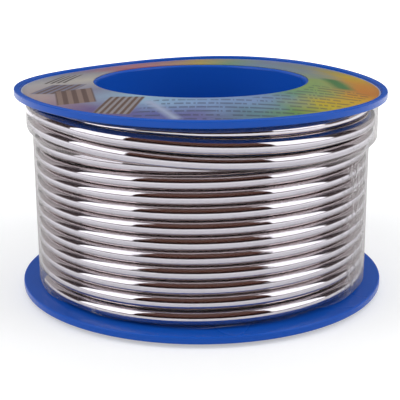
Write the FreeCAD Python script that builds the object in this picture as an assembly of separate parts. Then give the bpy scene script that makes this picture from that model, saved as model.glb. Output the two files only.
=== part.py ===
import FreeCAD, Part
import math
import os

# A free-standing reel of heavy soft-solder wire, in millimetres.
# The reel's axis is Z, and the origin is the centre of its lower hub end.

# Reel
flange_d = 80.0
bore_d = 45.0
rim_span = 43.6        # from the lower edge of the lower rim to the upper edge of the upper rim
hub_rise = 0.8         # each hub end stands this far beyond its rim
hub_land = 2.0         # width of the flat ring at each hub end
barrel_wall = 1.8
rim_height = 1.55      # of the bead around each flange
rim_width = 1.3
rim_proud = 0.82       # the bead stands this far beyond the flange's outer face
rim_round = 0.3
lip_round = 0.5        # at the mouths of the bore

# Lap joint between the two moulded halves, halfway up the barrel
lap_length = 6.0
lap_share = 0.5        # of the barrel's wall that the upper half's spigot takes
lap_clearance = 0.04

# Paper label
label_thickness = 0.15
label_margin = 0.15    # from the rim bead, and from the rounded lip of the bore
label_glue = 0.02

# Wire. Each layer is a chain of half turns that meet on the reel's front and back.
wire_d = 2.95
turn_clearance = 0.05  # from turn to turn, and from layer to layer
layers = 4
barrel_clearance = 0.125
flange_clearance = 0.06

# Third layer: its last turns lie loose and wide, and the last one rests along the upper flange
peek_lift = 0.6        # of the turn that shows through the gap in the outer layer
last_drop = 0.115      # of the last turn, below the highest that a turn can lie
last_lift = 1.6
end_lift = 2.2

# Outer layer, which runs down from the upper flange and leaves a gap under its two uppermost turns
front_rise = 0.575     # of its lowest turn at the front, above the lowest that a turn can lie
turns_above_gap = 2.5
top_half_turns = 3     # from the first station of the outer layer to the gap
gap_height = 1.32      # added to the pitch where the wire crosses the gap
outer_lift = 1.2       # of the two uppermost turns
end_share = 0.8        # share of its first half turn that the outer layer has

# Clear film around the winding
film_thickness = 0.15
film_clearance = 0.05
film_low_margin = 0.95      # from the lower flange
film_high_margin = 0.55     # from the upper flange
film_slope_start = 0.66     # the film widens from here below the uppermost even turn
film_slope_end = 1.18       # to here below the lowest lifted turn

flange_r = flange_d / 2
bore_r = bore_d / 2
barrel_r = bore_r + barrel_wall
wire_r = wire_d / 2
pitch = wire_d + turn_clearance
half_pitch = pitch / 2
total_height = rim_span + 2 * hub_rise
mid_height = total_height / 2
lower_face = hub_rise + rim_height
upper_face = total_height - lower_face
web_face = hub_rise + rim_proud
land_r = bore_r + hub_land
rim_inner_r = flange_r - rim_width
lap_r = bore_r + barrel_wall * lap_share
first_layer_r = barrel_r + barrel_clearance + wire_r
layer_r = [first_layer_r + pitch * layer for layer in range(layers)]
lowest_wire = lower_face + flange_clearance + wire_r
highest_wire = upper_face - flange_clearance - wire_r
lowest_front = lowest_wire + front_rise
even_turns = int((highest_wire - lowest_front - gap_height) / pitch - turns_above_gap)
even_top = lowest_front + pitch * even_turns
top_front = even_top + pitch + gap_height
peek_height = (even_top + top_front) / 2
last_height = highest_wire - last_drop


def revolved(points):
    """A solid turned about Z from its corners, given as radius and height."""
    corners = [FreeCAD.Vector(radius, 0, height) for radius, height in points]
    outline = Part.makePolygon(corners + corners[:1])
    return Part.Face(outline).revolve(FreeCAD.Vector(), FreeCAD.Vector(0, 0, 1), 360)


def rounded(solid, rings, size):
    """Rounds the circular edges at the given pairs of radius and height."""
    tight = 1e-4

    def on_ring(edge):
        if not isinstance(edge.Curve, Part.Circle):
            return False
        return any(abs(edge.Curve.Radius - radius) < tight and abs(edge.Curve.Center.z - height) < tight
                   for radius, height in rings)

    return solid.makeFillet(size, [edge for edge in solid.Edges if on_ring(edge)])


def turned_over(solid):
    """The same solid with its top and bottom exchanged within the reel's height."""
    return solid.mirror(FreeCAD.Vector(0, 0, mid_height), FreeCAD.Vector(0, 0, 1))


def half_reel(tongue_inner_r, tongue_outer_r):
    """A flange with its half of the barrel, as the lower half: one half of the wall runs on as a tongue."""
    shoulder = mid_height - lap_length / 2
    tongue_end = mid_height + lap_length / 2
    solid = revolved([
        (bore_r, 0),
        (land_r, 0),
        (rim_inner_r, web_face),
        (rim_inner_r, hub_rise),
        (flange_r, hub_rise),
        (flange_r, lower_face),
        (barrel_r, lower_face),
        (barrel_r, shoulder),
        (bore_r, shoulder),
    ])
    tongue = Part.makeCylinder(tongue_outer_r, tongue_end - shoulder, FreeCAD.Vector(0, 0, shoulder))
    hollow = Part.makeCylinder(tongue_inner_r, tongue_end - shoulder, FreeCAD.Vector(0, 0, shoulder))
    solid = solid.fuse(tongue.cut(hollow)).removeSplitter()
    rim_edges = [(flange_r, hub_rise), (flange_r, lower_face), (rim_inner_r, hub_rise)]
    solid = rounded(solid, rim_edges, rim_round)
    return rounded(solid, [(bore_r, 0)], lip_round)


def lower_half():
    """Its tongue is the outer half of the wall, and the spigot goes down inside it."""
    return half_reel(lap_r + lap_clearance / 2, barrel_r)


def upper_half():
    """Its tongue is the spigot."""
    return turned_over(half_reel(bore_r, lap_r - lap_clearance / 2))


def label():
    """A paper ring on the upper flange, from the lip of the bore to the rim bead."""
    inner_r = bore_r + lip_round + label_margin
    outer_r = rim_inner_r - label_margin
    fall = web_face * (outer_r - land_r) / (rim_inner_r - land_r)
    base = total_height + label_glue
    under = [(inner_r, base), (land_r, base), (outer_r, base - fall)]
    over = [(radius, height + label_thickness) for radius, height in reversed(under)]
    return revolved(under + over)


def half_turn(start, end, first_share, last_share):
    """The part between two shares of the half circle that runs clockwise, seen from above."""
    centre = (start + end) * 0.5
    chord = end - start
    across = FreeCAD.Vector(chord.y, -chord.x, 0).normalize()
    top = centre - across * (chord.Length / 2)
    arc = Part.Arc(start, top, end)
    first, span = arc.FirstParameter, arc.LastParameter - arc.FirstParameter
    return arc.toShape(first + span * first_share, first + span * last_share)


def wound(stations, at_front, first_share=0.0, last_share=1.0):
    """Round wire through stations of radius and height, the first of them at the reel's front or back.

    Only the given shares of the first and last half turns are there.
    """
    points = []
    for count, (radius, height) in enumerate(stations):
        side = -1 if (count % 2 == 0) == at_front else 1
        points.append(FreeCAD.Vector(0, side * radius, height))
    last = len(points) - 2
    edges = []
    for count in range(last + 1):
        start_share = first_share if count == 0 else 0.0
        stop_share = last_share if count == last else 1.0
        edges.append(half_turn(points[count], points[count + 1], start_share, stop_share))
    start = edges[0].valueAt(edges[0].FirstParameter)
    heading = edges[0].tangentAt(edges[0].FirstParameter)
    section = Part.Face(Part.Wire(Part.makeCircle(wire_r, start, heading)))
    return Part.Wire(edges).makePipe(section)


def share_to(height_left):
    """The share of a half turn that rises or falls half a pitch at which it has gone this far."""
    return math.acos(1 - 2 * height_left / half_pitch) / math.pi


def even_layer(radius):
    """Stations from the lower flange to the upper one, and the share of the last half turn that fits."""
    room = highest_wire - lowest_wire
    count = int(room / half_pitch)
    stations = [(radius, lowest_wire + half_pitch * step) for step in range(count + 2)]
    return stations, share_to(room - half_pitch * count)


def first_layer():
    stations, share = even_layer(layer_r[0])
    return wound(stations, True, last_share=share)


def second_layer():
    """It runs down the reel, so its stations fall."""
    stations, share = even_layer(layer_r[1])
    fallen = [(radius, total_height - height) for radius, height in stations]
    return wound(fallen, False, last_share=share)


def third_layer():
    room = peek_height - lowest_wire
    count = int(room / half_pitch)
    low = peek_height - half_pitch * (count + 1)
    stations = [(layer_r[2], low + half_pitch * step) for step in range(count + 1)]
    loose_steps = int((last_height - pitch - peek_height) / half_pitch)
    loose_r = layer_r[2] + peek_lift
    stations += [(loose_r, peek_height + half_pitch * step) for step in range(loose_steps + 1)]
    stations.append((layer_r[2] + last_lift, last_height))
    stations.append((layer_r[2] + end_lift, last_height))
    share = 1 - share_to(room - half_pitch * count)
    return wound(stations, count % 2 == 1, first_share=share)


def outer_layer():
    even_r, top_r = layer_r[3], layer_r[3] + outer_lift
    stations = [(top_r, top_front + half_pitch * step) for step in reversed(range(top_half_turns + 1))]
    stations.append(((even_r + top_r) / 2, peek_height))
    stations += [(even_r, even_top - half_pitch * step) for step in range(2 * even_turns + 2)]
    share = share_to(lowest_front - lowest_wire)
    return wound(stations, False, first_share=1 - end_share, last_share=share)


def film():
    """A thin sleeve that bridges the wire's turns."""
    even_r = layer_r[3] + wire_r + film_clearance
    top_r = even_r + outer_lift
    inside = [
        (even_r, lower_face + film_low_margin),
        (even_r, even_top - film_slope_start),
        (top_r, top_front - film_slope_end),
        (top_r, upper_face - film_high_margin),
    ]
    outside = [(radius + film_thickness, height) for radius, height in reversed(inside)]
    return revolved(inside + outside)


parts = {
    "reel_lower_half": lower_half(),
    "reel_upper_half": upper_half(),
    "top_label": label(),
    "wire_layer_1": first_layer(),
    "wire_layer_2": second_layer(),
    "wire_layer_3": third_layer(),
    "wire_layer_4": outer_layer(),
    "film_wrap": film(),
}

os.makedirs("parts", exist_ok=True)
for name, shape in parts.items():
    shape.exportStep(f"parts/{name}.step")
    print(name, shape.isValid(), len(shape.Solids), round(shape.Volume, 1))
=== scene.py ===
# A reel of heavy solder wire on a pale studio floor
import math
import bpy
import bmesh
from mathutils import Matrix, Vector


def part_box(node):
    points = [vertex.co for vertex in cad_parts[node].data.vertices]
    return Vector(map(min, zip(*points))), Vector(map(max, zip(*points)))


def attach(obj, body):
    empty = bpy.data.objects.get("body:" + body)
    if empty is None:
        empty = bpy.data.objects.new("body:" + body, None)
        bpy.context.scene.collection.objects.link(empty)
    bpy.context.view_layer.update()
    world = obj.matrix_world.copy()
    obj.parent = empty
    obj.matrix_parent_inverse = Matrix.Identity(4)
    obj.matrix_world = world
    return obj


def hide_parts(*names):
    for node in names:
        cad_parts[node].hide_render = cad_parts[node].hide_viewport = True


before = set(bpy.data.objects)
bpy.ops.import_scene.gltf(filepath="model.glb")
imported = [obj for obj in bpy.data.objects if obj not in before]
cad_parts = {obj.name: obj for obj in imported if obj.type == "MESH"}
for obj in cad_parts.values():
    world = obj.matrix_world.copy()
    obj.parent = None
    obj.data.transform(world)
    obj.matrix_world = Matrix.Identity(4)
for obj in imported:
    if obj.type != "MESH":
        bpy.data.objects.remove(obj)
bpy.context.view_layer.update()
mm = 0.001
fullTurn = 2 * math.pi
scene = bpy.context.scene
scene.view_settings.view_transform = "Standard"
print("frame loaded")


# small helpers

def addObject(name, data):
    piece = bpy.data.objects.new(name, data)
    scene.collection.objects.link(piece)
    return piece


def roundOutline(corners, steps=6):
    # corners are radius, height and rounding; a guard point beside each arc keeps the flats flat
    outline = []
    for k, (radius, height, size) in enumerate(corners):
        here = Vector((radius, height))
        if not size:
            outline.append(here)
            continue
        back = (Vector(corners[k - 1][:2]) - here).normalized()
        ahead = (Vector(corners[(k + 1) % len(corners)][:2]) - here).normalized()
        half = back.angle(ahead) / 2
        reach = size / math.tan(half)
        centre = here + (back + ahead).normalized() * size / math.sin(half)
        guard = reach + 0.2 * size
        outline.append(here + back * guard)
        first = here + back * reach - centre
        last = here + ahead * reach - centre
        outline += [centre + first.slerp(last, step / steps) * size for step in range(steps + 1)]
        outline.append(here + ahead * guard)
    return outline


def turnedPiece(name, outline, segments, lift=None):
    # revolves a closed outline about Z
    points = []
    for step in range(segments):
        angle = fullTurn * step / segments
        for radius, height in outline:
            extra = lift(radius, angle) if lift else 0
            points.append((radius * math.cos(angle), radius * math.sin(angle), height + extra))
    count = len(outline)
    faces = []
    for step in range(segments):
        here = step * count
        there = (step + 1) % segments * count
        for k in range(count):
            m = (k + 1) % count
            faces.append((here + k, there + k, there + m, here + m))
    mesh = bpy.data.meshes.new(name)
    mesh.from_pydata(points, [], faces)
    fixNormals(mesh)
    smoothMesh(mesh)
    return addObject(name, mesh)


def fixNormals(mesh):
    work = bmesh.new()
    work.from_mesh(mesh)
    bmesh.ops.recalc_face_normals(work, faces=work.faces)
    work.to_mesh(mesh)
    work.free()


def smoothMesh(mesh, sharpFrom=32):
    for polygon in mesh.polygons:
        polygon.use_smooth = True
    mesh.set_sharp_from_angle(angle=math.radians(sharpFrom))


def ease(start, end, turn):
    share = min(max((turn - start) / (end - start), 0), 1)
    return share * share * (3 - 2 * share)


# node helpers

def newMaterial(name):
    material = bpy.data.materials.new(name)
    material.use_nodes = True
    tree = material.node_tree
    tree.nodes.clear()
    output = tree.nodes.new("ShaderNodeOutputMaterial")
    shader = tree.nodes.new("ShaderNodeBsdfPrincipled")
    tree.links.new(shader.outputs["BSDF"], output.inputs["Surface"])
    return material, tree, shader


def addNode(tree, kind, values=None, links=None, **settings):
    node = tree.nodes.new(kind)
    for key, value in settings.items():
        setattr(node, key, value)
    for key, value in (values or {}).items():
        node.inputs[key].default_value = value
    for key, source in (links or {}).items():
        tree.links.new(source, node.inputs[key])
    return node


def mathNode(tree, operation, first, second=None, third=None, clamp=False):
    node = tree.nodes.new("ShaderNodeMath")
    node.operation = operation
    node.use_clamp = clamp
    for k, value in enumerate((first, second, third)):
        if value is None:
            continue
        if isinstance(value, (int, float)):
            node.inputs[k].default_value = value
        else:
            tree.links.new(value, node.inputs[k])
    return node.outputs[0]


def mixColor(tree, factor, first, second, blend="MIX"):
    node = tree.nodes.new("ShaderNodeMix")
    node.data_type = "RGBA"
    node.blend_type = blend
    for socket, value in ((node.inputs[0], factor), (node.inputs[6], first), (node.inputs[7], second)):
        if isinstance(value, (int, float, tuple)):
            socket.default_value = value
        else:
            tree.links.new(value, socket)
    return node.outputs[2]


def rampNode(tree, source, stops):
    node = tree.nodes.new("ShaderNodeValToRGB")
    elements = node.color_ramp.elements
    while len(elements) < len(stops):
        elements.new(0.5)
    for element, (place, color) in zip(elements, stops):
        element.position = place
        element.color = color
    tree.links.new(source, node.inputs[0])
    return node.outputs[0]


def smoothRange(tree, source, low, high, outLow=0.0, outHigh=1.0):
    node = tree.nodes.new("ShaderNodeMapRange")
    node.interpolation_type = "SMOOTHSTEP"
    for key, value in (("From Min", low), ("From Max", high), ("To Min", outLow), ("To Max", outHigh)):
        node.inputs[key].default_value = value
    tree.links.new(source, node.inputs["Value"])
    return node.outputs[0]


def scaledPlace(tree, place, scale):
    return addNode(tree, "ShaderNodeVectorMath", {1: scale}, {0: place}, operation="MULTIPLY").outputs[0]


def noiseNode(tree, place, scale, detail):
    values = {"Scale": scale, "Detail": detail}
    return addNode(tree, "ShaderNodeTexNoise", values, {"Vector": place}).outputs["Fac"]


def addBump(tree, shader, source, strength, distance):
    bump = addNode(tree, "ShaderNodeBump", {"Strength": strength, "Distance": distance}, {"Height": source})
    tree.links.new(bump.outputs["Normal"], shader.inputs["Normal"])


def gray(level):
    return (level, level, level, 1)


def newGroup(name, inputs, outputs):
    tree = bpy.data.node_groups.new(name, "ShaderNodeTree")
    for title, kind in inputs:
        tree.interface.new_socket(title, in_out="INPUT", socket_type="NodeSocket" + kind)
    for title, kind in outputs:
        tree.interface.new_socket(title, in_out="OUTPUT", socket_type="NodeSocket" + kind)
    return tree, tree.nodes.new("NodeGroupInput").outputs, tree.nodes.new("NodeGroupOutput").inputs


def patchGroup():
    # a soft-edged turned rectangle in the XY plane, with its own length coordinate
    inputs = [("Position", "Vector"), ("Centre", "Vector"), ("Turn", "Float"), ("Length", "Float"),
              ("Width", "Float"), ("Soft", "Float")]
    tree, given, result = newGroup("patch", inputs, [("Mask", "Float"), ("Along", "Float")])
    moved = addNode(tree, "ShaderNodeVectorMath", None, {0: given["Position"], 1: given["Centre"]},
                    operation="SUBTRACT")
    back = mathNode(tree, "MULTIPLY", given["Turn"], -1.0)
    turned = addNode(tree, "ShaderNodeVectorRotate", None, {"Vector": moved.outputs[0], "Angle": back},
                     rotation_type="Z_AXIS")
    axes = addNode(tree, "ShaderNodeSeparateXYZ", None, {"Vector": turned.outputs[0]}).outputs
    masks = []
    for axis, size in ((axes["X"], given["Length"]), (axes["Y"], given["Width"])):
        half = mathNode(tree, "MULTIPLY", size, 0.5)
        inside = mathNode(tree, "SUBTRACT", half, mathNode(tree, "ABSOLUTE", axis))
        masks.append(mathNode(tree, "DIVIDE", inside, given["Soft"], clamp=True))
    tree.links.new(mathNode(tree, "MULTIPLY", masks[0], masks[1]), result["Mask"])
    tree.links.new(axes["X"], result["Along"])
    return tree


def crinkleGroup():
    # thin wandering lines, as creases
    inputs = [("Position", "Vector"), ("Scale", "Float"), ("Fineness", "Float")]
    tree, given, result = newGroup("crinkle", inputs, [("Mask", "Float")])
    noise = addNode(tree, "ShaderNodeTexNoise", {"Detail": 3.0, "Distortion": 0.6},
                    {"Vector": given["Position"], "Scale": given["Scale"]})
    away = mathNode(tree, "ABSOLUTE", mathNode(tree, "SUBTRACT", noise.outputs["Fac"], 0.5))
    line = mathNode(tree, "SUBTRACT", 1.0, mathNode(tree, "MULTIPLY", away, given["Fineness"]), clamp=True)
    tree.links.new(line, result["Mask"])
    return tree


def useGroup(tree, group, values=None, links=None):
    node = tree.nodes.new("ShaderNodeGroup")
    node.node_tree = group
    for key, value in (values or {}).items():
        node.inputs[key].default_value = value
    for key, source in (links or {}).items():
        tree.links.new(source, node.inputs[key])
    return node.outputs


# wire

wire = {
    "radius": 1.485 * mm,
    "pitch": 3.0 * mm,
    "pointsPerTurn": 110,
    "ringPoints": 28,
    "underRadius": 31.9 * mm,
    "underTurns": 11.7,
    "evenRadius": 34.9 * mm,
    "liftedRadius": 36.1 * mm,
    "lowestFront": 4.46 * mm,
    "lowestWire": 3.885 * mm,
    "sag": 0.22 * mm,            # of the lowest turn, at the front
    "sagFrom": (-69, -10),
    "sagTo": (90, 330),
    "evenTurns": 9,
    "unevenRadius": 0.05 * mm,
    "unevenHeight": 0.03 * mm,
    # sine waves along the wire: rate and start
    "radiusWaves": ((1.37, 0.6), (0.41, 0)),
    "heightWaves": ((0.83, 2.1), (1.93, 0)),
    # degrees round from the reel's front, radius and height in mm, where the wire leaves its even turns
    "dive": [
        (90, 34.9, 32.21), (180, 34.9, 32.96), (250, 34.9, 33.6), (290, 34.9, 34.1), (315, 34.8, 34.3),
        (332, 34.4, 34.22), (348, 33.8, 34.08), (360, 33.5, 33.98), (375, 33.1, 33.8), (392, 32.7, 33.5),
        (430, 32.3, 33.5),
    ],
    # the last turns, from under the upper flange down to the wire's end
    "last": [
        (-200, 32.6, 41.1), (-90, 33.5, 41.15), (-47, 33.95, 41.15), (-30, 34.45, 41.05), (-12, 34.8, 41.0),
        (0, 35.15, 40.82), (24, 35.35, 40.6), (45, 35.15, 40.5), (66, 34.9, 40.55), (130, 34.9, 40.85),
        (200, 35.5, 41.15), (250, 36.1, 41.15), (290, 36.5, 40.95), (313, 36.85, 40.6), (330, 37.2, 39.9),
        (348, 37.3, 39.27), (360, 37.4, 38.83), (371, 37.4, 38.54), (390, 37.3, 38.27), (418, 36.95, 38.3),
        (450, 36.1, 38.25), (510, 36.1, 38.5), (590, 36.1, 38.3), (650, 36.1, 37.9), (673, 36.1, 37.45),
        (690, 36.1, 36.75), (708, 36.1, 36.03), (720, 36.1, 35.6), (731, 36.1, 35.3), (750, 36.1, 34.98),
        (778, 36.1, 35.08), (810, 36.1, 35.25), (870, 36.1, 35.6),
    ],
}


def throughStations(stations, degrees):
    # a smooth curve through unevenly spaced stations
    last = len(stations) - 1
    k = 0
    while k < last - 1 and degrees > stations[k + 1][0]:
        k += 1
    before, here = stations[max(k - 1, 0)], stations[k]
    there, after = stations[k + 1], stations[min(k + 2, last)]
    span = there[0] - here[0]
    t = (degrees - here[0]) / span
    values = []
    for axis in (1, 2):
        slopeHere = (there[axis] - before[axis]) / (there[0] - before[0]) * span
        slopeThere = (after[axis] - here[axis]) / (after[0] - here[0]) * span
        values.append((2 * t ** 3 - 3 * t ** 2 + 1) * here[axis] + (t ** 3 - 2 * t ** 2 + t) * slopeHere
                      + (3 * t ** 2 - 2 * t ** 3) * there[axis] + (t ** 3 - t ** 2) * slopeThere)
    return values[0] * mm, values[1] * mm


def evenPlace(degrees):
    # climbs from the lower flange, and slips in under the last turns at the front
    w = wire
    afterEven = degrees - 360 * w["evenTurns"]
    if afterEven > w["dive"][0][0]:
        return throughStations(w["dive"], afterEven)
    sag = w["sag"] * ease(*w["sagFrom"], degrees) * (1 - ease(*w["sagTo"], degrees))
    return w["evenRadius"], w["lowestFront"] + w["pitch"] * degrees / 360 - sag


def lastPlace(degrees):
    return throughStations(wire["last"], degrees)


def underPlace(degrees):
    return wire["underRadius"], wire["lowestWire"] + wire["pitch"] * degrees / 360


def uneven(waves, turned):
    return math.prod(math.sin(rate * turned + start) for rate, start in waves)


def woundCurve(name, stretches):
    # poly splines along the wire, slightly uneven as hand-fed wire lies
    curve = bpy.data.curves.new(name, "CURVE")
    curve.dimensions = "3D"
    for place, first, last in stretches:
        count = math.ceil((last - first) / 360 * wire["pointsPerTurn"])
        spline = curve.splines.new("POLY")
        spline.points.add(count)
        for step in range(count + 1):
            degrees = first + (last - first) * step / count
            radius, height = place(degrees)
            turned = math.radians(degrees)
            radius += wire["unevenRadius"] * uneven(wire["radiusWaves"], turned)
            height += wire["unevenHeight"] * uneven(wire["heightWaves"], turned)
            angle = turned - math.pi / 2
            spline.points[step].co = (radius * math.cos(angle), radius * math.sin(angle), height, 1)
    return addObject(name, curve)


def windingTree():
    # sweeps round wire along a curve and stores how far along and around it each point is
    tree = bpy.data.node_groups.new("wireSweep", "GeometryNodeTree")
    face = tree.interface
    face.new_socket("Geometry", in_out="INPUT", socket_type="NodeSocketGeometry")
    face.new_socket("Wire Radius", in_out="INPUT", socket_type="NodeSocketFloat")
    face.new_socket("Ring Points", in_out="INPUT", socket_type="NodeSocketInt")
    face.new_socket("Finish", in_out="INPUT", socket_type="NodeSocketMaterial")
    face.new_socket("Geometry", in_out="OUTPUT", socket_type="NodeSocketGeometry")
    given = tree.nodes.new("NodeGroupInput")
    result = tree.nodes.new("NodeGroupOutput")
    place = tree.nodes.new("GeometryNodeSplineParameter")
    along = addNode(tree, "GeometryNodeStoreNamedAttribute", {"Name": "along"},
                    {"Geometry": given.outputs["Geometry"], "Value": place.outputs["Length"]},
                    data_type="FLOAT", domain="POINT")
    ring = addNode(tree, "GeometryNodeCurvePrimitiveCircle", None,
                   {"Radius": given.outputs["Wire Radius"], "Resolution": given.outputs["Ring Points"]})
    around = addNode(tree, "GeometryNodeStoreNamedAttribute", {"Name": "around"},
                     {"Geometry": ring.outputs["Curve"], "Value": place.outputs["Factor"]},
                     data_type="FLOAT", domain="POINT")
    sweep = addNode(tree, "GeometryNodeCurveToMesh", {"Fill Caps": True},
                    {"Curve": along.outputs["Geometry"], "Profile Curve": around.outputs["Geometry"]})
    smooth = addNode(tree, "GeometryNodeSetShadeSmooth", None, {"Geometry": sweep.outputs["Mesh"]})
    real = addNode(tree, "GeometryNodeRealizeInstances", None, {"Geometry": smooth.outputs["Geometry"]})
    finish = addNode(tree, "GeometryNodeSetMaterial", None,
                     {"Geometry": real.outputs["Geometry"], "Material": given.outputs["Finish"]})
    tree.links.new(finish.outputs["Geometry"], result.inputs["Geometry"])
    return tree


def sweptWire(name, path, tree, material):
    modifier = path.modifiers.new("sweep", "NODES")
    modifier.node_group = tree
    values = {"Wire Radius": wire["radius"], "Ring Points": wire["ringPoints"], "Finish": material}
    for item in tree.interface.items_tree:
        if item.in_out == "INPUT" and item.name in values:
            modifier[item.identifier] = values[item.name]
    bpy.context.view_layer.update()
    graph = bpy.context.evaluated_depsgraph_get()
    mesh = bpy.data.meshes.new_from_object(path.evaluated_get(graph), depsgraph=graph)
    mesh.name = name
    path.modifiers.remove(modifier)
    bpy.data.objects.remove(path)
    fixNormals(mesh)
    smoothMesh(mesh, 60)
    return addObject(name, mesh)


# reel

reel = {
    "flangeRadius": 40 * mm,
    "boreRadius": 22.5 * mm,
    "barrelRadius": 24.3 * mm,
    "landRadius": 24.5 * mm,
    "rimInner": 38.7 * mm,
    "hubRise": 0.8 * mm,
    "rimHeight": 1.55 * mm,
    "rimProud": 0.82 * mm,
    "rimRound": 0.32 * mm,
    "bedRound": 0.35 * mm,       # between the rim bead and the web
    "lipRound": 0.5 * mm,
    "landRound": 0.4 * mm,
    "rootRound": 0.5 * mm,       # between the flange and the barrel
    "lapLength": 6 * mm,
    "segments": 288,
    "warp": 0.7 * mm,
    # waves round the rim: times round, cosine and sine shares of the warp
    "waves": [(1, -0.33, 0.27), (2, -0.14, 0.39), (3, -0.25, -0.28)],
    "backLift": 0.4,             # share of the warp by which the rim's back stands higher
    "backTurn": 1.3,
}
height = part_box("reel_upper_half")[1].z


def halfOutline(wallEnd):
    r = reel
    lowerFace = r["hubRise"] + r["rimHeight"]
    return roundOutline([
        (r["boreRadius"], wallEnd, 0),
        (r["boreRadius"], 0, r["lipRound"]),
        (r["landRadius"], 0, r["landRound"]),
        (r["rimInner"], r["hubRise"] + r["rimProud"], r["bedRound"]),
        (r["rimInner"], r["hubRise"], r["rimRound"]),
        (r["flangeRadius"], r["hubRise"], r["rimRound"]),
        (r["flangeRadius"], lowerFace, r["rimRound"]),
        (r["barrelRadius"], lowerFace, r["rootRound"]),
        (r["barrelRadius"], wallEnd, 0),
    ])


def rimWarp(radius, angle):
    # a thin moulded flange is never quite flat
    share = ease(reel["barrelRadius"], reel["flangeRadius"], radius)
    wave = sum(across * math.cos(times * angle) + along * math.sin(times * angle)
               for times, across, along in reel["waves"])
    wave += reel["backLift"] * max(math.cos(angle - reel["backTurn"]), 0) ** 4
    return reel["warp"] * share * wave


def makeReel(material):
    # the upper half's spigot reaches down inside the lower half's wall, so the bore shows one seam
    half = reel["lapLength"] / 2
    lower = turnedPiece("reelLower", halfOutline(height / 2 - half), reel["segments"])
    turned = [Vector((point.x, height - point.y)) for point in halfOutline(height / 2 + half)]
    upper = turnedPiece("reelUpper", turned, reel["segments"], rimWarp)
    for piece, node in ((lower, "reel_lower_half"), (upper, "reel_upper_half")):
        piece.data.materials.append(material)
        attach(piece, "root")
        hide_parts(node)


# label

label = {
    "inner": 23.2 * mm,
    "outer": 38.5 * mm,
    "thickness": 0.15 * mm,
    "glue": 0.03 * mm,
    "steps": 20,
    "segments": 240,
}


def labelBase(radius):
    r = reel
    fall = (r["hubRise"] + r["rimProud"]) / (r["rimInner"] - r["landRadius"])
    return height + label["glue"] - max(radius - r["landRadius"], 0) * fall


def makeLabel(material):
    top = []
    for step in range(label["steps"] + 1):
        radius = label["inner"] + (label["outer"] - label["inner"]) * step / label["steps"]
        top.append(Vector((radius, labelBase(radius) + label["thickness"])))
    bottom = [Vector((point.x, point.y - label["thickness"])) for point in reversed(top)]
    piece = turnedPiece("labelRing", top + bottom, label["segments"], rimWarp)
    piece.data.materials.append(material)
    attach(piece, "root")
    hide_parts("top_label")


# materials

plastic = {
    "color": (0.009, 0.098, 0.53, 1),
    "deepColor": (0.007, 0.086, 0.48, 1),
    "roughness": (0.21, 0.29),
    "flowScale": 25.0,
    "grainScale": 900.0,
    "grainDepth": 0.00005,
    "refraction": 1.42,
    "specular": 0.25,
}


def plasticMaterial():
    material, tree, shader = newMaterial("bluePlastic")
    q = plastic
    place = addNode(tree, "ShaderNodeTexCoord").outputs["Object"]
    flow = noiseNode(tree, place, q["flowScale"], 1.0)
    grain = noiseNode(tree, place, q["grainScale"], 2.0)
    tree.links.new(mixColor(tree, flow, q["color"], q["deepColor"]), shader.inputs["Base Color"])
    tree.links.new(smoothRange(tree, flow, 0.3, 0.7, *q["roughness"]), shader.inputs["Roughness"])
    addBump(tree, shader, grain, 0.05, q["grainDepth"])
    shader.inputs["IOR"].default_value = q["refraction"]
    shader.inputs["Specular IOR Level"].default_value = q["specular"]
    return material


solder = {
    "color": (0.55, 0.53, 0.575, 1),
    "streakColor": (0.5, 0.475, 0.52, 1),
    "paintedReflectionColor": (0.54, 0.475, 0.47, 1),    # painted reflection: a turn seen reflected in its neighbour is given this warmer colour
    "roughness": (0.025, 0.08),
    "streaksAlong": 60.0,
    "streaksAround": 40.0,
    "streakDepth": 0.00004,
    "cloudScale": 90.0,
}


def solderMaterial():
    material, tree, shader = newMaterial("brightSolder")
    q = solder
    along = addNode(tree, "ShaderNodeAttribute", attribute_name="along").outputs["Fac"]
    around = addNode(tree, "ShaderNodeAttribute", attribute_name="around").outputs["Fac"]
    stretched = addNode(tree, "ShaderNodeCombineXYZ", None,
                        {"X": mathNode(tree, "MULTIPLY", along, q["streaksAlong"]),
                         "Y": mathNode(tree, "MULTIPLY", around, q["streaksAround"])}).outputs[0]
    streaks = noiseNode(tree, stretched, 1.0, 4.0)
    place = addNode(tree, "ShaderNodeTexCoord").outputs["Object"]
    cloud = noiseNode(tree, place, q["cloudScale"], 3.0)
    color = mixColor(tree, streaks, q["color"], q["streakColor"])
    # painted reflection: where the wire is seen in any reflection, such as in a neighbouring turn, its
    # colour is made warmer
    depth = addNode(tree, "ShaderNodeLightPath").outputs["Glossy Depth"]
    color = mixColor(tree, mathNode(tree, "GREATER_THAN", depth, 0.5), color, q["paintedReflectionColor"])
    tree.links.new(color, shader.inputs["Base Color"])
    tree.links.new(smoothRange(tree, cloud, 0.3, 0.75, *q["roughness"]), shader.inputs["Roughness"])
    addBump(tree, shader, streaks, 0.12, q["streakDepth"])
    shader.inputs["Metallic"].default_value = 1.0
    return material


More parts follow.
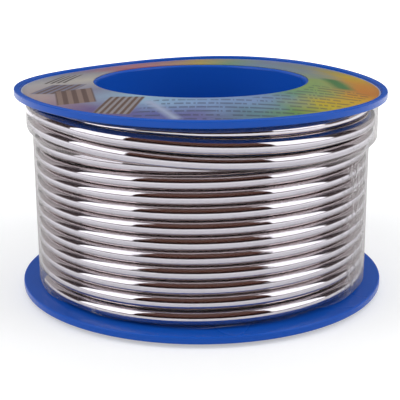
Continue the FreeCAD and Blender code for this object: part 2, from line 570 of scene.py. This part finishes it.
printed = {
    "light": 1.2,
    "innerStops": [
        (0.0, (0.20, 0.24, 0.14, 1)), (0.083, (0.17, 0.21, 0.24, 1)), (0.167, (0.14, 0.21, 0.28, 1)),
        (0.208, (0.15, 0.25, 0.15, 1)), (0.25, (0.37, 0.29, 0.07, 1)), (0.292, (0.34, 0.20, 0.14, 1)),
        (0.333, (0.36, 0.14, 0.16, 1)), (0.39, (0.31, 0.11, 0.14, 1)), (0.43, (0.25, 0.24, 0.26, 1)),
        (0.5, (0.38, 0.35, 0.31, 1)), (0.583, (0.17, 0.17, 0.25, 1)), (0.667, (0.22, 0.35, 0.46, 1)),
        (0.75, (0.16, 0.25, 0.42, 1)), (0.833, (0.14, 0.21, 0.37, 1)), (0.875, (0.11, 0.22, 0.15, 1)),
        (0.917, (0.17, 0.27, 0.09, 1)), (1.0, (0.20, 0.27, 0.09, 1)),
    ],
    "outerStops": [
        (0.0, (0.46, 0.19, 0.02, 1)), (0.05, (0.44, 0.30, 0.015, 1)), (0.083, (0.30, 0.24, 0.06, 1)),
        (0.125, (0.17, 0.20, 0.19, 1)), (0.167, (0.16, 0.18, 0.26, 1)), (0.208, (0.17, 0.23, 0.18, 1)),
        (0.25, (0.33, 0.24, 0.08, 1)), (0.292, (0.28, 0.15, 0.17, 1)), (0.333, (0.33, 0.14, 0.18, 1)),
        (0.39, (0.21, 0.15, 0.21, 1)), (0.43, (0.22, 0.22, 0.25, 1)), (0.5, (0.34, 0.32, 0.32, 1)),
        (0.583, (0.31, 0.23, 0.23, 1)), (0.65, (0.11, 0.07, 0.18, 1)), (0.71, (0.08, 0.09, 0.26, 1)),
        (0.75, (0.10, 0.10, 0.24, 1)), (0.80, (0.08, 0.17, 0.20, 1)), (0.833, (0.10, 0.21, 0.05, 1)),
        (0.87, (0.38, 0.30, 0.01, 1)), (0.917, (0.48, 0.27, 0.01, 1)), (0.955, (0.42, 0.15, 0.02, 1)),
        (1.0, (0.46, 0.19, 0.02, 1)),
    ],
    # centre, turn in degrees, length, width, soft edge, colour, second stripe colour, stripe spacing
    "patches": [
        ((-30.4, 5.5), -12, 5.6, 13.0, 0.4, (0.06, 0.045, 0.04), (0.34, 0.32, 0.31), 1.4),
        ((-29.6, -9.0), -20, 8.6, 10.5, 0.5, (0.11, 0.07, 0.06), (0.16, 0.16, 0.22), 1.7),
        ((-25.2, -17.5), 10, 8.0, 13.5, 0.4, (0.19, 0.13, 0.11), (0.10, 0.06, 0.05), 2.0),
        ((-15.6, -26.6), -12, 7.6, 12.0, 0.4, (0.10, 0.06, 0.045), (0.21, 0.19, 0.20), 1.3),
        ((29.2, -3.2), -80, 13.5, 6.0, 2.2, (0.06, 0.16, 0.05), (0.06, 0.16, 0.05), 9.0),
        ((-7.4, -30.5), -63, 15.0, 3.2, 1.6, (0.26, 0.30, 0.42), (0.26, 0.30, 0.42), 9.0),
    ],
    # lengths in mm, angles in radians
    "cloudScale": 0.16,
    "drift": 9.0,
    "colorFade": (25.5, 35.5),
    "rowSpacing": 2.3,
    "rowShare": 0.4,
    "rowShift": 7.3,
    "dash": 1.5,
    "dashShare": 0.4,
    "rowAngles": ((-1.98, -1.9), (-0.28, -0.35)),
    "rowRadii": ((24.6, 25), (36.9, 36.5)),
    "rowStrength": 0.55,
    "rowColor": (0.03, 0.035, 0.06, 1),
    "edgeRadii": (38.1, 38.4),
    "edgeColor": (0.55, 0.58, 0.66, 1),
    "fibreScale": 9.0,
    "fibreShade": 0.05,
    "fibreDepth": 0.00003,
    "roughness": (0.32, 0.45),
    "refraction": 1.2,
}


def labelMaterial(patch):
    material, tree, shader = newMaterial("printedPaper")
    q = printed
    place = addNode(tree, "ShaderNodeTexCoord").outputs["Object"]
    inMm = scaledPlace(tree, place, (1000, 1000, 0))
    axes = addNode(tree, "ShaderNodeSeparateXYZ", None, {"Vector": inMm}).outputs
    angle = mathNode(tree, "ARCTAN2", axes["Y"], axes["X"])
    share = mathNode(tree, "FRACT", mathNode(tree, "MULTIPLY_ADD", angle, 1 / fullTurn, 1.0))
    radius = addNode(tree, "ShaderNodeVectorMath", None, {0: inMm}, operation="LENGTH").outputs["Value"]
    cloud = noiseNode(tree, inMm, q["cloudScale"], 2.0)
    drift = mathNode(tree, "MULTIPLY_ADD", mathNode(tree, "SUBTRACT", cloud, 0.5), q["drift"], radius)
    outward = smoothRange(tree, drift, *q["colorFade"])
    innerColor = rampNode(tree, share, q["innerStops"])
    outerColor = rampNode(tree, share, q["outerStops"])
    color = mixColor(tree, outward, innerColor, outerColor)

    # ruled lines fill the front and right of the ring
    rows = mathNode(tree, "DIVIDE", axes["Y"], q["rowSpacing"])
    onRow = mathNode(tree, "LESS_THAN", mathNode(tree, "FRACT", rows), q["rowShare"])
    alongRow = mathNode(tree, "MULTIPLY", axes["X"], q["dash"])
    shifted = mathNode(tree, "MULTIPLY", mathNode(tree, "FLOOR", rows), q["rowShift"])
    dashPlace = addNode(tree, "ShaderNodeCombineXYZ", None, {"X": alongRow, "Y": shifted}).outputs[0]
    dashes = noiseNode(tree, dashPlace, 1.0, 0.0)
    ruled = mathNode(tree, "MULTIPLY", onRow, mathNode(tree, "GREATER_THAN", dashes, q["dashShare"]))
    for source, ranges in ((angle, q["rowAngles"]), (radius, q["rowRadii"])):
        for fade in ranges:
            ruled = mathNode(tree, "MULTIPLY", ruled, smoothRange(tree, source, *fade))
    ruled = mathNode(tree, "MULTIPLY", ruled, q["rowStrength"])
    color = mixColor(tree, ruled, color, q["rowColor"])

    for centre, turn, length, width, soft, first, second, spacing in q["patches"]:
        values = {"Centre": (*centre, 0), "Turn": math.radians(turn)}
        values |= {"Length": length, "Width": width, "Soft": soft}
        spot = useGroup(tree, patch, values, {"Position": inMm})
        stripe = mathNode(tree, "FRACT", mathNode(tree, "DIVIDE", spot["Along"], spacing))
        stripe = mathNode(tree, "ABSOLUTE", mathNode(tree, "SUBTRACT", stripe, 0.5))
        stripe = smoothRange(tree, stripe, 0.2, 0.3)
        striped = mixColor(tree, stripe, (*first, 1), (*second, 1))
        color = mixColor(tree, spot["Mask"], color, striped)

    color = mixColor(tree, 1.0, color, gray(q["light"]), "MULTIPLY")
    fibre = noiseNode(tree, inMm, q["fibreScale"], 3.0)
    color = mixColor(tree, smoothRange(tree, fibre, 0.35, 0.75, 0.0, q["fibreShade"]), color, gray(0.6))
    color = mixColor(tree, smoothRange(tree, radius, *q["edgeRadii"]), color, q["edgeColor"])
    tree.links.new(color, shader.inputs["Base Color"])
    tree.links.new(smoothRange(tree, fibre, 0.3, 0.7, *q["roughness"]), shader.inputs["Roughness"])
    addBump(tree, shader, fibre, 0.1, q["fibreDepth"])
    shader.inputs["IOR"].default_value = q["refraction"]
    return material


clearFilm = {
    "color": (0.38, 0.35, 0.34, 1),
    "creaseColor": (0.85, 0.85, 0.86, 1),
    "veil": (0.02, 0.62),              # opacity seen square on and at a low angle
    "gatherFrom": (-0.78, -0.5),       # radians from the reel's right
    "gatherTo": (0.5, 0.0),
    "gatherTop": (0.97, 0.8),          # shares of the film's height
    "lowBand": (0.04, 0.015),
    "lowBandFrom": (-1.7, -2.05),
    "edgeBand": (0.008, 0.0),
    "coarse": {"Scale": 420.0, "Fineness": 52.0},
    "fine": {"Scale": 800.0, "Fineness": 22.0},
    "low": {"Scale": 330.0, "Fineness": 34.0},
    "fineShare": 0.5,
    "lowShare": 0.8,
    "tall": (1.0, 1.0, 0.25),
    "flat": (0.4, 0.4, 1.3),
    "patchScale": 60.0,
    "creaseOpacity": 0.7,
    "creaseDepth": 0.0001,
    "roughness": (0.12, 0.26),
}


def filmMaterial(crinkle):
    material, tree, shader = newMaterial("clearFilm")
    q = clearFilm
    facing = addNode(tree, "ShaderNodeLayerWeight", {"Blend": 0.3}).outputs["Facing"]
    veil = smoothRange(tree, facing, 0.3, 0.95, *q["veil"])
    place = addNode(tree, "ShaderNodeTexCoord").outputs["Object"]
    axes = addNode(tree, "ShaderNodeSeparateXYZ", None, {"Vector": place}).outputs
    angle = mathNode(tree, "ARCTAN2", axes["Y"], axes["X"])
    rise = addNode(tree, "ShaderNodeAttribute", attribute_name="rise").outputs["Fac"]

    # the film is gathered on the right, and a little along its lower edge
    tall, flat = scaledPlace(tree, place, q["tall"]), scaledPlace(tree, place, q["flat"])
    coarse = useGroup(tree, crinkle, q["coarse"], {"Position": tall})["Mask"]
    fine = useGroup(tree, crinkle, q["fine"], {"Position": tall})["Mask"]
    both = mathNode(tree, "MAXIMUM", coarse, mathNode(tree, "MULTIPLY", fine, q["fineShare"]))
    creased = both
    for source, fade in ((angle, q["gatherFrom"]), (angle, q["gatherTo"]), (rise, q["gatherTop"])):
        creased = mathNode(tree, "MULTIPLY", creased, smoothRange(tree, source, *fade))
    lowLines = useGroup(tree, crinkle, q["low"], {"Position": flat})["Mask"]
    lowCreased = mathNode(tree, "MULTIPLY", lowLines, q["lowShare"])
    for source, fade in ((rise, q["lowBand"]), (angle, q["lowBandFrom"])):
        lowCreased = mathNode(tree, "MULTIPLY", lowCreased, smoothRange(tree, source, *fade))
    creased = mathNode(tree, "MAXIMUM", creased, lowCreased)
    patchy = noiseNode(tree, place, q["patchScale"], 1.0)
    creased = mathNode(tree, "MULTIPLY", creased, smoothRange(tree, patchy, 0.38, 0.62))
    edge = mathNode(tree, "MULTIPLY", smoothRange(tree, rise, *q["edgeBand"]),
                    smoothRange(tree, patchy, 0.45, 0.65, 0.0, 0.4))
    white = mathNode(tree, "MAXIMUM", creased, edge)
    opaque = mathNode(tree, "MAXIMUM", veil, mathNode(tree, "MULTIPLY", white, q["creaseOpacity"]))
    tree.links.new(opaque, shader.inputs["Alpha"])
    tree.links.new(mixColor(tree, white, q["color"], q["creaseColor"]), shader.inputs["Base Color"])
    tree.links.new(smoothRange(tree, patchy, 0.3, 0.7, *q["roughness"]), shader.inputs["Roughness"])
    addBump(tree, shader, both, 0.5, q["creaseDepth"])
    return material


# film

film = {
    "clearance": 0.06 * mm,
    "lowEdge": 2.95 * mm,
    "highEdge": 42.3 * mm,
    "slopeLow": 33.2 * mm,
    "slopeTilt": 1.4 * mm,
    "slopeHeight": 2.8 * mm,
    "bulge": 1.4 * mm,          # of the loose upper turns, widest a little right of the front
    "bulgeTurn": math.radians(80),
    "segments": 720,
    "rows": 90,
    "thickness": 0.04 * mm,
    # the lower edge's waves: size, times round, start
    "edgeWaves": [(0.25 * mm, 5, 0), (0.2 * mm, 13, 1)],
}


def makeFilm(material):
    evenRadius = wire["evenRadius"] + wire["radius"] + film["clearance"]
    lift = wire["liftedRadius"] - wire["evenRadius"]
    columns = film["segments"]
    points, rise = [], []
    for row in range(film["rows"] + 1):
        share = row / film["rows"]
        rise += [share] * columns
        for column in range(columns):
            angle = fullTurn * column / columns
            low = film["lowEdge"] + sum(size * math.sin(times * angle + start)
                                        for size, times, start in film["edgeWaves"])
            z = low + (film["highEdge"] - low) * share
            slopeLow = film["slopeLow"] - film["slopeTilt"] * math.cos(angle)
            bulge = film["bulge"] * max(math.cos(angle + film["bulgeTurn"]), 0)
            radius = evenRadius + (lift + bulge) * ease(slopeLow, slopeLow + film["slopeHeight"], z)
            points.append((radius * math.cos(angle), radius * math.sin(angle), z))
    faces = []
    for row in range(film["rows"]):
        for column in range(columns):
            here = row * columns + column
            beside = row * columns + (column + 1) % columns
            faces.append((here, beside, beside + columns, here + columns))
    mesh = bpy.data.meshes.new("filmWrap")
    mesh.from_pydata(points, [], faces)
    mesh.attributes.new("rise", "FLOAT", "POINT").data.foreach_set("value", rise)
    smoothMesh(mesh, 180)
    piece = addObject("filmWrap", mesh)
    wall = piece.modifiers.new("wall", "SOLIDIFY")
    wall.thickness = film["thickness"]
    wall.offset = 1
    piece.data.materials.append(material)
    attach(piece, "root")
    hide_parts("film_wrap")


# studio

studio = {
    "cameraDistance": 215.15 * mm,
    "cameraHeight": 78.87 * mm,
    "cameraDown": 15.75,
    "cameraRoll": -0.28,
    "lens": 89.8,
    "shiftX": -0.0036,
    "skyColor": (0.95, 0.97, 1, 1),
    "skyLight": 0.55,
    "floorReach": 4.0,
    "floorDrop": 0.05 * mm,
    "floorShade": 0.7,
    "floorGlow": (0.04, 0.3, 0.41, 0.9),    # near and far distance from the reel, and their strengths
}


def makeCamera():
    s = studio
    camera = addObject("camera", bpy.data.cameras.new("camera"))
    camera.data.lens = s["lens"]
    camera.data.sensor_width = 36
    camera.data.shift_x = s["shiftX"]
    camera.data.clip_start = 0.01
    turn = Matrix.Rotation(math.radians(90 - s["cameraDown"]), 4, "X")
    roll = Matrix.Rotation(math.radians(s["cameraRoll"]), 4, "Z")
    camera.matrix_world = Matrix.Translation((0, -s["cameraDistance"], s["cameraHeight"])) @ turn @ roll
    scene.camera = camera


def sightMix(tree, seen, unseen):
    # what camera, glossy and clear rays see, and what lights the object
    rays = addNode(tree, "ShaderNodeLightPath")
    direct = mathNode(tree, "MAXIMUM", rays.outputs["Is Camera Ray"], rays.outputs["Is Glossy Ray"])
    sight = mathNode(tree, "MAXIMUM", direct, rays.outputs["Is Transmission Ray"])
    return addNode(tree, "ShaderNodeMixShader", None, {0: sight, 1: unseen, 2: seen})


def makeWorld():
    world = bpy.data.worlds.new("paleWorld")
    scene.world = world
    world.use_nodes = True
    tree = world.node_tree
    tree.nodes.clear()
    output = tree.nodes.new("ShaderNodeOutputWorld")
    seen = addNode(tree, "ShaderNodeBackground", {"Color": gray(1), "Strength": 1.0})
    light = {"Color": studio["skyColor"], "Strength": studio["skyLight"]}
    unseen = addNode(tree, "ShaderNodeBackground", light)
    mixed = sightMix(tree, seen.outputs[0], unseen.outputs[0])
    tree.links.new(mixed.outputs[0], output.inputs["Surface"])


def makeFloor():
    s = studio
    reach = s["floorReach"]
    corners = [(-reach, -reach, 0), (reach, -reach, 0), (reach, reach, 0), (-reach, reach, 0)]
    mesh = bpy.data.meshes.new("floor")
    mesh.from_pydata(corners, [], [(0, 1, 2, 3)])
    floor = addObject("floor", mesh)
    material, tree, shader = newMaterial("paleFloor")
    shader.inputs["Base Color"].default_value = gray(s["floorShade"])
    shader.inputs["Roughness"].default_value = 0.9
    shader.inputs["Specular IOR Level"].default_value = 0.0
    place = addNode(tree, "ShaderNodeTexCoord").outputs["Object"]
    away = addNode(tree, "ShaderNodeVectorMath", None, {0: place}, operation="LENGTH").outputs["Value"]
    glow = addNode(tree, "ShaderNodeEmission", {"Color": gray(1)})
    tree.links.new(smoothRange(tree, away, *s["floorGlow"]), glow.inputs["Strength"])
    both = addNode(tree, "ShaderNodeAddShader", None, {0: shader.outputs[0], 1: glow.outputs[0]})
    mixed = sightMix(tree, both.outputs[0], shader.outputs[0])
    output = [node for node in tree.nodes if node.type == "OUTPUT_MATERIAL"][0]
    tree.links.new(mixed.outputs[0], output.inputs["Surface"])
    floor.location.z = -s["floorDrop"]
    mesh.materials.append(material)


def polar(azimuth, elevation, distance):
    # azimuth 0 is straight in front of the reel, and grows to the viewer's right
    a, e = math.radians(azimuth), math.radians(elevation)
    return Vector((math.sin(a) * math.cos(e), -math.cos(a) * math.cos(e), math.sin(e))) * distance


# azimuth to each side and elevation in degrees, distance in metres, colours from the low edge up
cards = {
    "frontRoom": {
        "inner": -66, "outer": 66, "low": 3, "high": 90, "distance": 0.95, "strength": 1.0,
        "stops": [(0.0, (0.015, 0.002, 0.001, 1)), (0.26, (0.025, 0.004, 0.002, 1)),
                  (0.36, (0.14, 0.055, 0.035, 1)), (0.7, (0.2, 0.1, 0.075, 1)), (1.0, (0.3, 0.2, 0.18, 1))],
    },
    "softBox": {
        "inner": 46, "outer": 88, "low": 11, "high": 76, "distance": 0.86, "strength": 2.3,
        "taper": 16, "sink": 6,
        "stops": [(0.0, (1, 1, 1, 1)), (1.0, (1, 1, 1, 1))],
    },
    "boxFoot": {
        "inner": 45, "outer": 88, "low": 3, "high": 17, "distance": 0.93, "strength": 1.0,
        "stops": [(0.0, (0.14, 0.085, 0.07, 1)), (1.0, (0.2, 0.13, 0.11, 1))],
    },
    "sideRoom": {
        "inner": 86, "outer": 114, "low": 3, "high": 90, "distance": 0.91, "strength": 1.0,
        "stops": [(0.0, (0.3, 0.25, 0.24, 1)), (0.12, (0.06, 0.04, 0.04, 1)),
                  (0.34, (0.05, 0.035, 0.04, 1)), (0.48, (0.3, 0.27, 0.29, 1)), (1.0, (0.5, 0.45, 0.44, 1))],
    },
    "backWall": {
        "inner": 112, "outer": 150, "low": 2, "high": 90, "distance": 0.97, "strength": 1.0,
        "stops": [(0.0, (0.62, 0.57, 0.55, 1)), (1.0, (0.68, 0.62, 0.59, 1))],
    },
    "backDark": {
        "inner": 148, "outer": 180, "low": 0.5, "high": 90, "distance": 0.96, "strength": 1.0,
        "stops": [(0.0, (0.03, 0.04, 0.05, 1)), (0.12, (0.04, 0.05, 0.06, 1)),
                  (0.2, (0.3, 0.3, 0.31, 1)), (1.0, (0.6, 0.55, 0.53, 1))],
    },
    "ceiling": {
        "inner": 40, "outer": 120, "low": 70, "high": 90, "distance": 0.9, "strength": 1.0,
        "stops": [(0.0, (0.34, 0.29, 0.28, 1)), (1.0, (0.3, 0.24, 0.23, 1))],
    },
}
topLamp = {"azimuth": 160, "elevation": 70, "distance": 0.7, "size": 0.5, "power": 0.5}


def makeCard(name, values, side):
    # a curved card around the reel, for reflections; one brighter than white also lights the reel
    steps = 16
    points, rise = [], []
    for row in range(steps + 1):
        share = row / steps
        inner = values["inner"] + values.get("taper", 0) * share ** 2
        for column in range(steps + 1):
            azimuth = inner + (values["outer"] - inner) * column / steps
            low = values["low"] - values.get("sink", 0) * column / steps
            elevation = low + (values["high"] - low) * share
            point = polar(side * azimuth, elevation, values["distance"])
            points.append(point + Vector((0, 0, height / 2)))
            rise.append(share)
    faces = []
    for row in range(steps):
        for column in range(steps):
            here = row * (steps + 1) + column
            faces.append((here, here + 1, here + steps + 2, here + steps + 1))
    mesh = bpy.data.meshes.new(name)
    mesh.from_pydata(points, [], faces)
    mesh.attributes.new("rise", "FLOAT", "POINT").data.foreach_set("value", rise)
    card = addObject(name, mesh)
    material, tree, shader = newMaterial(name + "Finish")
    share = addNode(tree, "ShaderNodeAttribute", attribute_name="rise").outputs["Fac"]
    tree.links.new(rampNode(tree, share, values["stops"]), shader.inputs["Emission Color"])
    shader.inputs["Base Color"].default_value = gray(0)
    shader.inputs["Specular IOR Level"].default_value = 0.0
    shader.inputs["Emission Strength"].default_value = values["strength"]
    mesh.materials.append(material)
    card.visible_camera = False
    card.visible_shadow = False
    card.visible_diffuse = values["strength"] > 1


def makeLamp(name, values):
    light = bpy.data.lights.new(name, "AREA")
    light.shape = "RECTANGLE"
    light.size = light.size_y = values["size"]
    light.energy = values["power"]
    lamp = addObject(name, light)
    lamp.location = polar(values["azimuth"], values["elevation"], values["distance"])
    lamp.rotation_euler = (-lamp.location).to_track_quat("-Z", "Y").to_euler()
    lamp.visible_glossy = False


makeCamera()
makeWorld()
makeFloor()
makeCard("frontRoom", cards["frontRoom"], 1)
for name in ("softBox", "boxFoot", "sideRoom", "backWall", "backDark", "ceiling"):
    makeCard(name + "Right", cards[name], 1)
    makeCard(name + "Left", cards[name], -1)
makeLamp("topLamp", topLamp)
print("studio ready")

crinkleLines = crinkleGroup()
solderFinish = solderMaterial()
plasticFinish = plasticMaterial()
makeReel(plasticFinish)
makeLabel(labelMaterial(patchGroup()))
print("reel and label made")

sweep = windingTree()
evenStart = -360 * (wire["lowestFront"] - wire["lowestWire"]) / wire["pitch"]
evenEnd = 360 * wire["evenTurns"] + wire["dive"][-1][0]
outerPath = woundCurve("outerPath", [(evenPlace, evenStart, evenEnd),
                                     (lastPlace, wire["last"][0][0], wire["last"][-1][0])])
underPath = woundCurve("underPath", [(underPlace, 0, 360 * wire["underTurns"])])
outer = sweptWire("windingOuter", outerPath, sweep, solderFinish)
under = sweptWire("windingUnder", underPath, sweep, solderFinish)
for piece, node in ((outer, "wire_layer_4"), (under, "wire_layer_3")):
    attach(piece, "root")
    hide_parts(node)
for node in ("wire_layer_1", "wire_layer_2"):
    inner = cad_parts[node]
    inner.data.materials.clear()
    inner.data.materials.append(solderFinish)
print("wire wound")

makeFilm(filmMaterial(crinkleLines))
print("film wrapped")
